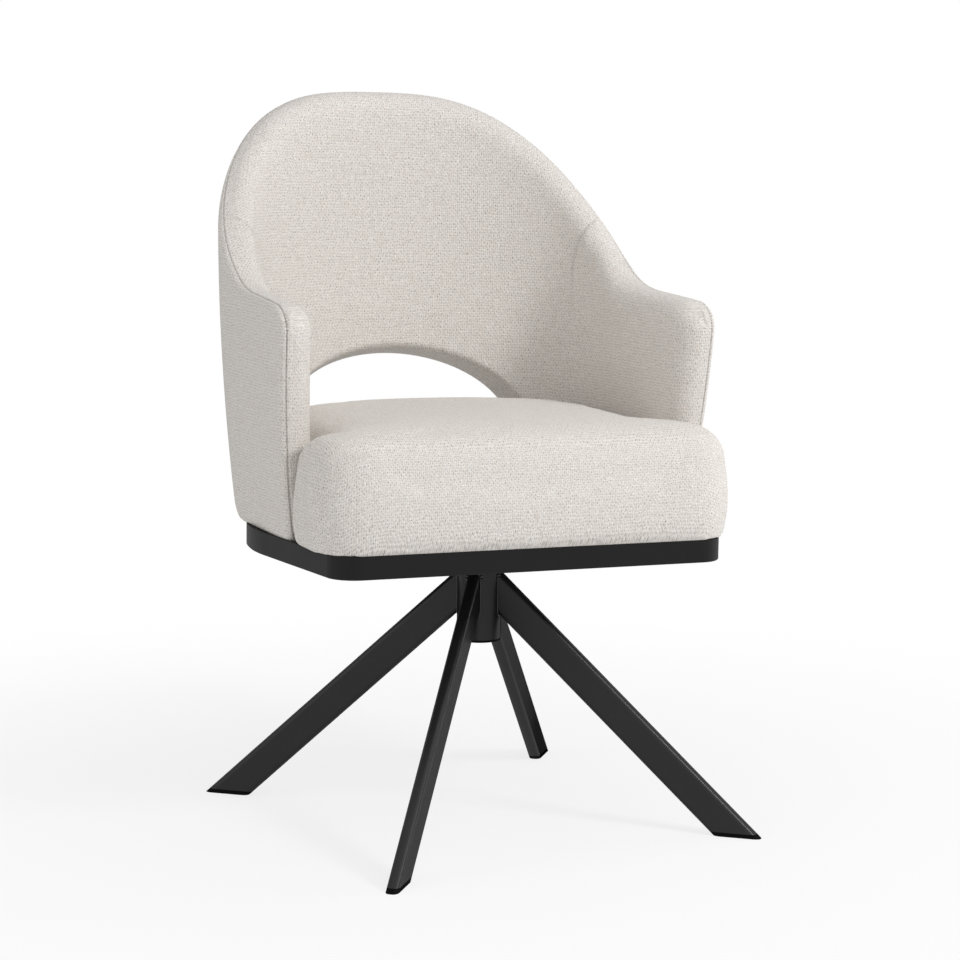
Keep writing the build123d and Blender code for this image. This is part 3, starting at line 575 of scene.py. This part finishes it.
def weave_cloth(name, upright, level):
    """Off-white cloth: slubs shift each yarn between warm and cool shades. Painted shade darkens the gaps between
    yarns and the seams, and broad patches where the pile lies flatter show the weave's painted shade less."""
    material, tree, shader = new_material(name)
    chart = add_node(tree, "UVMap", uv_map="cloth").outputs[0]
    weave = add_node(tree, "Group", {"Cloth": chart, "Upright": upright, "Level": level}, node_tree=weave_tree)
    slub = add_node(tree, "MapRange", {"Value": weave.outputs["Slub"], "From Min": 0.3, "From Max": 0.7})
    yarn = mix_colour(tree, slub.outputs[0], WARM_YARN, COOL_YARN)
    broad = noise(tree, chart, PATCH_SCALE, 3.0).outputs["Fac"]
    flat = math_node(tree, "MULTIPLY_ADD", broad, PATCH_SPAN, PATCH_LEAST)
    depth = math_node(tree, "MULTIPLY_ADD", flat, -PATCH_LOSS, WEAVE_PAINTED_SHADE)
    # Painted shade in the weave: fuzz and dip strokes darken the colour, less on the flatter patches.
    fuzz_and_painted_shade = math_node(tree, "SUBTRACT", 1.0, weave.outputs["Light"])
    shade = math_node(tree, "SUBTRACT", 1.0, math_node(tree, "MULTIPLY", fuzz_and_painted_shade, depth))
    # Painted shade along the seam grooves: the colour darkens with the seam weight.
    seam = add_node(tree, "Attribute", attribute_name="seam").outputs["Fac"]
    shade = math_node(tree, "MULTIPLY", shade, math_node(tree, "MULTIPLY_ADD", seam, -SEAM_PAINTED_SHADE, 1.0))
    painted_shade_grey = add_node(tree, "CombineColor", enumerate([shade] * 3)).outputs[0]
    bump = add_node(tree, "Bump", {"Strength": 0.6, "Distance": 0.0013, "Height": weave.outputs["Height"]})
    feed(tree, shader, {
        "Base Color": mix_colour(tree, 1.0, yarn, painted_shade_grey, "MULTIPLY"),
        "Roughness": 0.95,
        "Specular IOR Level": 0.2,
        "Sheen Weight": 0.12,
        "Sheen Roughness": 0.6,
        "Normal": bump.outputs[0],
    })
    return material


ivory_weave = weave_cloth("ivory_weave", UPRIGHT_PER_METRE, LEVEL_PER_METRE)
tub = tub_cover()
tub.data.materials.append(ivory_weave)
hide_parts("tub_upholstery")
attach(tub, "seat")

# Seat cushion: crowned foam on a plywood board, sewn in the same weave and pulled down under its foot.
# Its ears stand in front of the arms and its back follows the inside of the tub.
# The cover is blown up by a short cloth simulation and then held to a few millimetres of its cut shape.
CUSHION_FRONT, CUSHION_FRONT_HALF, CUSHION_FLARE = 170.0, 245.0, 0.0122
CUSHION_GAP, NOTCH_CLEAR, CUSHION_WAIST = 4.5, 10.0, 60.0
CUSHION_SWELL, SWELL_FROM, SWELL_SPAN = 10.0, 0.22, 0.56
CUSHION_FOOT, FOOT_POWER = 4.0, 8
CUSHION_EDGE, CUSHION_CROWN, CROWN_REACH = 125.0, 9.5, 150.0
CUSHION_CENTRE = np.array([0.0, -75.0])
FRONT_ROUND, SIDE_ROUND, BACK_ROUND = 36.0, 37.0, 34.0
EAR_FRONT_CORNER, EAR_BACK_CORNER = 48.0, 16.0
FLOOR_ROWS, WALL_ROWS, TOP_ROWS, TOP_CROWDING = 8, 14, 46, 1.25
FREE_SPAN, CROWN_SPAN = 25, 21
HELD_FOOT, HELD_BACK, HELD_FREE = 4.0, 70.0, 0.3
COVER_VOXEL, COVER_CAP, COVER_PRESSURE, COVER_FRAMES, COVER_LIFT = 0.0055, 0.0025, 4.0, 20, 0.0002
CHART_DROP, CHART_STEEP = 12.0, 0.6


def corner_arc(before, corner, after, radius, count):
    """Points round a corner between two straight runs, on a circle that touches both."""
    before, corner, after = (np.asarray(p, float) for p in (before, corner, after))
    first, second = ((end - corner) / np.linalg.norm(end - corner) for end in (before, after))
    half = np.arccos(np.clip(first @ second, -1, 1)) / 2
    middle = corner + (first + second) / np.linalg.norm(first + second) * radius / np.sin(half)
    start, end = (corner + way * radius / np.tan(half) - middle for way in (first, second))
    share, turn = np.linspace(0, 1, count)[:, None], np.pi - 2 * half
    return middle + (np.sin((1 - share) * turn) * start + np.sin(share * turn) * end) / np.sin(turn)


def straight(first, last, count):
    """Evenly spaced points on a straight run, without its last one."""
    first, last = np.asarray(first), np.asarray(last)
    return first + (last - first) * np.linspace(0, 1, count, endpoint=False)[:, None]


def cushion_outline(rise):
    """Closed outline of the cushion at a height: straight front, ears, notches at the arms, round back.
    Returns points and, for each, the share of free wall (1 on front and ears, 0 against the tub)."""
    notch_y = ARM_TIP_Y - CUSHION_GAP - ARM_FORWARD * rise
    front = (0, -CUSHION_FRONT)
    ear_front, ear_back = ((CUSHION_FRONT_HALF + CUSHION_FLARE * (y + CUSHION_FRONT), y)
                           for y in (-CUSHION_FRONT, notch_y))
    inner_run = np.linspace(ARM_END, 0, 90)
    inner = tub_point(inner_run, -TUB_THICK - CUSHION_GAP, np.full_like(inner_run, rise))[:, :2]
    inner = inner[inner[:, 1] > notch_y + NOTCH_CLEAR]
    even, own = np.linspace(0, 1, 80), np.linspace(0, 1, len(inner))
    inner = np.stack([np.interp(even, own, column) for column in inner.T], -1)
    notch = (inner[0, 0], notch_y)
    ear = corner_arc(front, ear_front, ear_back, EAR_FRONT_CORNER, 16)
    heel = corner_arc(ear_front, ear_back, notch, EAR_BACK_CORNER, 10)
    stretches = [
        (straight(front, ear[0], 36), 1),
        (ear, 1),
        (straight(ear[-1], heel[0], 14)[1:], 1),
        (heel, 0.6),
        (straight(heel[-1], notch, 8)[1:], 0),
        (straight(notch, inner[0], 3), 0),
        (inner, 0),
    ]
    right = np.concatenate([points for points, _ in stretches])
    free = np.concatenate([np.full(len(points), share) for points, share in stretches])
    left = right[-2:0:-1] * (-1, 1)
    return np.concatenate([right, left]), np.concatenate([free, free[-2:0:-1]])


def outward(points):
    """Unit normals of a closed outline that runs anticlockwise seen from above."""
    ahead = np.roll(points, -1, 0) - np.roll(points, 1, 0)
    normal = np.stack([ahead[:, 1], -ahead[:, 0]], -1)
    return normal / np.linalg.norm(normal, axis=1)[:, None]


def inside_distance(points, border):
    """Distance of points from a closed border, the nearest segment and the share of it."""
    step = np.roll(border, -1, 0) - border
    reach = points[:, None] - border[None]
    share = np.clip((reach * step).sum(-1) / (step**2).sum(-1), 0, 1)
    away = np.linalg.norm(reach - share[..., None] * step, axis=-1)
    nearest = away.argmin(1)
    return away.min(1), nearest, share[np.arange(len(points)), nearest]


def smoothed(ring, weights):
    """Weighted running mean of the values round a closed ring."""
    reach = len(weights) // 2
    return np.convolve(np.r_[ring[-reach:], ring, ring[:reach]], weights / weights.sum(), "valid")


def cushion_form():
    """Closed grid of the cushion: foot, swollen wall, round edge whose radius grows from front to sides, crown."""
    base, free = cushion_outline(0.0)
    soft = smoothed(free, np.ones(FREE_SPAN))
    radius = BACK_ROUND + (SIDE_ROUND - BACK_ROUND) * soft
    radius = radius + (FRONT_ROUND - radius) * np.clip(-outward(base)[:, 1], 0, 1) ** 2 * soft
    wall = CUSHION_EDGE - radius
    rows = []
    for share in np.linspace(0, 1, WALL_ROWS):
        border, _ = cushion_outline(CUSHION_WAIST * share)
        swell = CUSHION_SWELL * np.sin(np.pi * (SWELL_FROM + SWELL_SPAN * share)) * soft
        pull = CUSHION_FOOT * (1 - share) ** FOOT_POWER
        ring = border + outward(border) * (swell - pull)[:, None]
        rows.append(np.column_stack([ring, PLINTH_TOP + wall * share]))
    rim = rows[-1][:, :2]
    for share in 1 - np.linspace(0, 1, TOP_ROWS)[1:-1] ** TOP_CROWDING:
        ring = CUSHION_CENTRE + (rim - CUSHION_CENTRE) * share
        depth, nearest, _ = inside_distance(ring, rim)
        bend = np.clip(radius[nearest] - depth, 0, None)
        rise = wall[nearest] + np.sqrt(radius[nearest] ** 2 - bend**2)
        rise = rise + CUSHION_CROWN * (1 - (1 - np.clip(depth / CROWN_REACH, 0, 1)) ** 2)
        rows.append(np.column_stack([ring, PLINTH_TOP + smoothed(rise, np.hanning(CROWN_SPAN)[1:-1])]))
    middle = np.r_[CUSHION_CENTRE, rows[-1][:, 2].mean()]
    floor = [np.column_stack([CUSHION_CENTRE + (rows[0][:, :2] - CUSHION_CENTRE) * share, rows[0][:, 2]])
             for share in np.linspace(0, 1, FLOOR_ROWS)[:-1]]
    grid = np.stack([*floor, *rows, np.tile(middle, (len(rim), 1))])
    return np.concatenate([grid, grid[:, :1]], 1)


def fetched(items, label, width=1, kind=np.float32):
    """One property of all the items in a mesh's list, as an array with a row for each item."""
    values = np.empty(len(items) * width, kind)
    items.foreach_get(label, values)
    return values.reshape(-1, width) if width > 1 else values


def blown_up(piece, hold):
    """Runs a short pressure simulation on a piece, pinned by a weight per vertex, and writes the moved points back,
    each held within a cap of where it began."""
    group = piece.vertex_groups.new(name="held")
    for weight in np.unique(hold):
        group.add(np.flatnonzero(hold == weight).tolist(), float(weight), "REPLACE")
    cloth = piece.modifiers.new("blow", "CLOTH")
    cloth.settings.quality = 5
    cloth.settings.mass = 0.3
    cloth.settings.tension_stiffness = cloth.settings.compression_stiffness = 18
    cloth.settings.bending_stiffness = 2.0
    cloth.settings.use_pressure = True
    cloth.settings.uniform_pressure_force = COVER_PRESSURE
    cloth.settings.effector_weights.gravity = 0
    cloth.settings.vertex_group_mass = "held"
    cloth.point_cache.frame_end = COVER_FRAMES
    for step in range(1, COVER_FRAMES + 1):
        bpy.context.scene.frame_set(step)
    moved = piece.evaluated_get(bpy.context.evaluated_depsgraph_get()).to_mesh()
    before, after = fetched(piece.data.vertices, "co", 3), fetched(moved.vertices, "co", 3)
    length = np.linalg.norm(after - before, axis=1)[:, None]
    shift = (after - before) * np.minimum(1, COVER_CAP / np.maximum(length, 1e-9))
    piece.modifiers.remove(cloth)
    piece.vertex_groups.remove(group)
    bpy.context.scene.frame_set(1)
    piece.data.vertices.foreach_set("co", (before + shift).ravel())
    piece.data.update()


def chart_cushion(mesh):
    """Cloth lengths on the cushion: x and y over the top, carried on down the front. Steep faces take the length
    round the outline and the drop instead, so that the weave runs level round the ears."""
    point, normal = fetched(mesh.vertices, "co", 3), fetched(mesh.vertex_normals, "vector", 3)
    sides = fetched(mesh.polygons, "loop_total", kind=np.int32)
    start = fetched(mesh.polygons, "loop_start", kind=np.int32)
    corner = fetched(mesh.loops, "vertex_index", kind=np.int32)
    border = cushion_outline(CUSHION_WAIST)[0] * MM
    closed = np.concatenate([border, border[:1]])
    length = np.r_[0, np.cumsum(np.linalg.norm(np.diff(closed, axis=0), axis=1))]
    _, nearest, share = inside_distance(point[:, :2], border)
    round_border = length[nearest] + share * np.diff(length)[nearest]
    round_border = np.where(point[:, 0] < 0, round_border - length[-1], round_border)[corner]
    first = np.repeat(round_border[start], sides)
    round_border = round_border - length[-1] * np.rint((round_border - first) / length[-1])
    drop = np.minimum(point[:, 2] - (PLINTH_TOP + CUSHION_EDGE - CHART_DROP) * MM, 0)
    flat = np.hypot(normal[:, 0], normal[:, 1]) + 1e-6
    across, along = (normal[:, 0] / flat) ** 4, (normal[:, 1] / flat) ** 4 + 1e-9
    ahead = along / (across + along) * (point[:, 1] < 0)
    over = np.stack([point[:, 0], point[:, 1] + drop * ahead], -1)
    down = drop + point[:, 1] * ahead - CUSHION_FRONT * MM * (1 - ahead)
    level = np.stack([round_border, down[corner]], -1)
    steep = np.repeat(fetched(mesh.polygons, "normal", 3)[:, 2] < CHART_STEEP, sides)[:, None]
    layer = mesh.uv_layers.get("cloth") or mesh.uv_layers.new(name="cloth")
    layer.data.foreach_set("uv", np.where(steep, level, over[corner]).astype(np.float32).ravel())


def applied(piece, modifier):
    """Puts a modifier's result in place of the piece's mesh; returns that mesh."""
    bpy.context.view_layer.update()
    mesh = bpy.data.meshes.new_from_object(piece.evaluated_get(bpy.context.evaluated_depsgraph_get()))
    piece.modifiers.remove(modifier)
    piece.data = mesh
    mesh.name = piece.name
    return mesh


def cushion_cover():
    """The cut form, remeshed evenly, blown up, charted for its weave and smoothed once more."""
    form = cushion_form()
    piece = joined_mesh("cushion_cover", [(form, form[..., :2])])
    remesh = piece.modifiers.new("even", "REMESH")
    remesh.mode = "VOXEL"
    remesh.voxel_size = COVER_VOXEL
    even = applied(piece, remesh)
    point = fetched(even.vertices, "co", 3) * 1000
    border, free = cushion_outline(CUSHION_WAIST)
    _, nearest, _ = inside_distance(point[:, :2], border)
    low = point[:, 2] - PLINTH_TOP
    hold = (low < HELD_FOOT) | ((free[nearest] < HELD_FREE) & (low < HELD_BACK))
    blown_up(piece, hold.astype(float))
    point = fetched(even.vertices, "co", 3)
    point[:, 2] = np.maximum(point[:, 2], PLINTH_TOP * MM + COVER_LIFT)
    even.vertices.foreach_set("co", point.ravel())
    even.update()
    chart_cushion(even)
    smooth = piece.modifiers.new("smooth", "SUBSURF")
    smooth.levels = smooth.render_levels = 1
    fine = applied(piece, smooth)
    fine.polygons.foreach_set("use_smooth", np.ones(len(fine.polygons), bool))
    return piece


cushion = cushion_cover()
cushion.data.materials.clear()
cushion.data.materials.append(ivory_weave)
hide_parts("seat_cushion")
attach(cushion, "seat")

# Studio: a wide matt floor, pale near the chair and plain white further out, under a white sky.
# Four square soft lamps: a key from the front right, weaker ones from the right, the left and above.
FLOOR_REACH, FADE_START, FADE_END, FADE_LEAST = 14.0, 0.35, 1.4, 0.78
SKY_LIGHT = 0.41
LAMPS = {
    "key_front": ((1.6, -2.5, 2.3), (0, 0, 0.5), 0.9, 59.0),
    "side_right": ((2.8, -0.2, 0.6), (0, 0, 0.5), 0.8, 10.0),
    "fill_left": ((-3.2, -0.6, 1.2), (0, 0, 0.5), 2.4, 20.0),
    "top": ((0.1, -0.6, 3.2), (0, 0.1, 0.5), 2.4, 15.0),
}


def background_rays(tree):
    """1 for the rays that show the background: those from the camera, off gloss and through glass."""
    path = add_node(tree, "LightPath").outputs
    bounced = math_node(tree, "MAXIMUM", path["Is Glossy Ray"], path["Is Transmission Ray"])
    return math_node(tree, "MAXIMUM", path["Is Camera Ray"], bounced)


def pale_floor():
    """A flat sheet in metres with a matt white finish near the chair that gives way to white light further out."""
    mesh = bpy.data.meshes.new("studio_floor")
    corners = [(x * FLOOR_REACH, y * FLOOR_REACH, 0) for x, y in ((-1, -1), (1, -1), (1, 1), (-1, 1))]
    mesh.from_pydata(corners, [], [(0, 1, 2, 3)])
    floor = bpy.data.objects.new("studio_floor", mesh)
    bpy.context.scene.collection.objects.link(floor)
    material, tree, shader = new_material("studio_white")
    feed(tree, shader, {"Base Color": (0.9, 0.9, 0.9, 1), "Roughness": 0.9, "Specular IOR Level": 0.1})
    place = add_node(tree, "TexCoord").outputs["Object"]
    far = add_node(tree, "VectorMath", {0: place}, operation="LENGTH").outputs["Value"]
    ends = {"From Min": FADE_START, "From Max": FADE_END, "To Min": FADE_LEAST, "To Max": 1.0}
    fade = add_node(tree, "MapRange", {"Value": far, **ends}, interpolation_type="SMOOTHSTEP").outputs[0]
    white = add_node(tree, "Emission", {"Strength": 1.0}).outputs[0]
    share = math_node(tree, "MULTIPLY", fade, background_rays(tree))
    blend = add_node(tree, "MixShader", {0: share, 1: shader.outputs[0], 2: white}).outputs[0]
    feed(tree, tree.nodes["Material Output"], {"Surface": blend})
    mesh.materials.append(material)


def studio_light(name, place, aim, size, power):
    """A square area lamp at a place in metres, turned towards a point."""
    lamp = bpy.data.lights.new(name, "AREA")
    lamp.size, lamp.energy = size, power
    holder = bpy.data.objects.new(name, lamp)
    bpy.context.scene.collection.objects.link(holder)
    back = np.array(place) - np.array(aim)
    back = back / np.linalg.norm(back)
    right = np.cross((0, 0, 1), back)
    right = right / np.linalg.norm(right)
    turned = np.stack([right, np.cross(back, right), back], 1)
    holder.matrix_world = Matrix.Translation(place) @ Matrix(turned.tolist()).to_4x4()


pale_floor()
for lamp_name, lamp_values in LAMPS.items():
    studio_light(lamp_name, *lamp_values)
world = bpy.data.worlds.new("studio")
world.use_nodes = True
bpy.context.scene.world = world
sky = world.node_tree
glow = math_node(sky, "MULTIPLY_ADD", background_rays(sky), 1 - SKY_LIGHT, SKY_LIGHT)
feed(sky, sky.nodes["Background"], {"Color": (1, 1, 1, 1), "Strength": glow})

# Camera: the photograph's view, a long lens from the front left, a little above the seat.
# Its place, turn and focal length were fitted to the legs, hub and plinth in the 960 pixel picture.
CAMERA_TURN, CAMERA_DOWN, CAMERA_ROLL = math.radians(22.5), math.radians(7.36), math.radians(0.89)
CAMERA_AWAY, CAMERA_RISE, CAMERA_SIDE = 2.850, 0.7695, -0.0011
SENSOR, FOCAL_PIXELS, PICTURE_PIXELS = 36.0, 2453, 960
lens = bpy.data.cameras.new("camera")
lens.sensor_width, lens.lens = SENSOR, SENSOR * FOCAL_PIXELS / PICTURE_PIXELS
camera = bpy.data.objects.new("camera", lens)
bpy.context.scene.collection.objects.link(camera)
camera_place = (CAMERA_SIDE * math.cos(CAMERA_TURN) - CAMERA_AWAY * math.sin(CAMERA_TURN),
                -CAMERA_SIDE * math.sin(CAMERA_TURN) - CAMERA_AWAY * math.cos(CAMERA_TURN), CAMERA_RISE)
camera.matrix_world = (Matrix.Translation(camera_place) @ Matrix.Rotation(-CAMERA_TURN, 4, "Z")
                       @ Matrix.Rotation(math.pi / 2 - CAMERA_DOWN, 4, "X") @ Matrix.Rotation(CAMERA_ROLL, 4, "Z"))
bpy.context.scene.camera = camera
bpy.context.scene.view_settings.view_transform = "Standard"
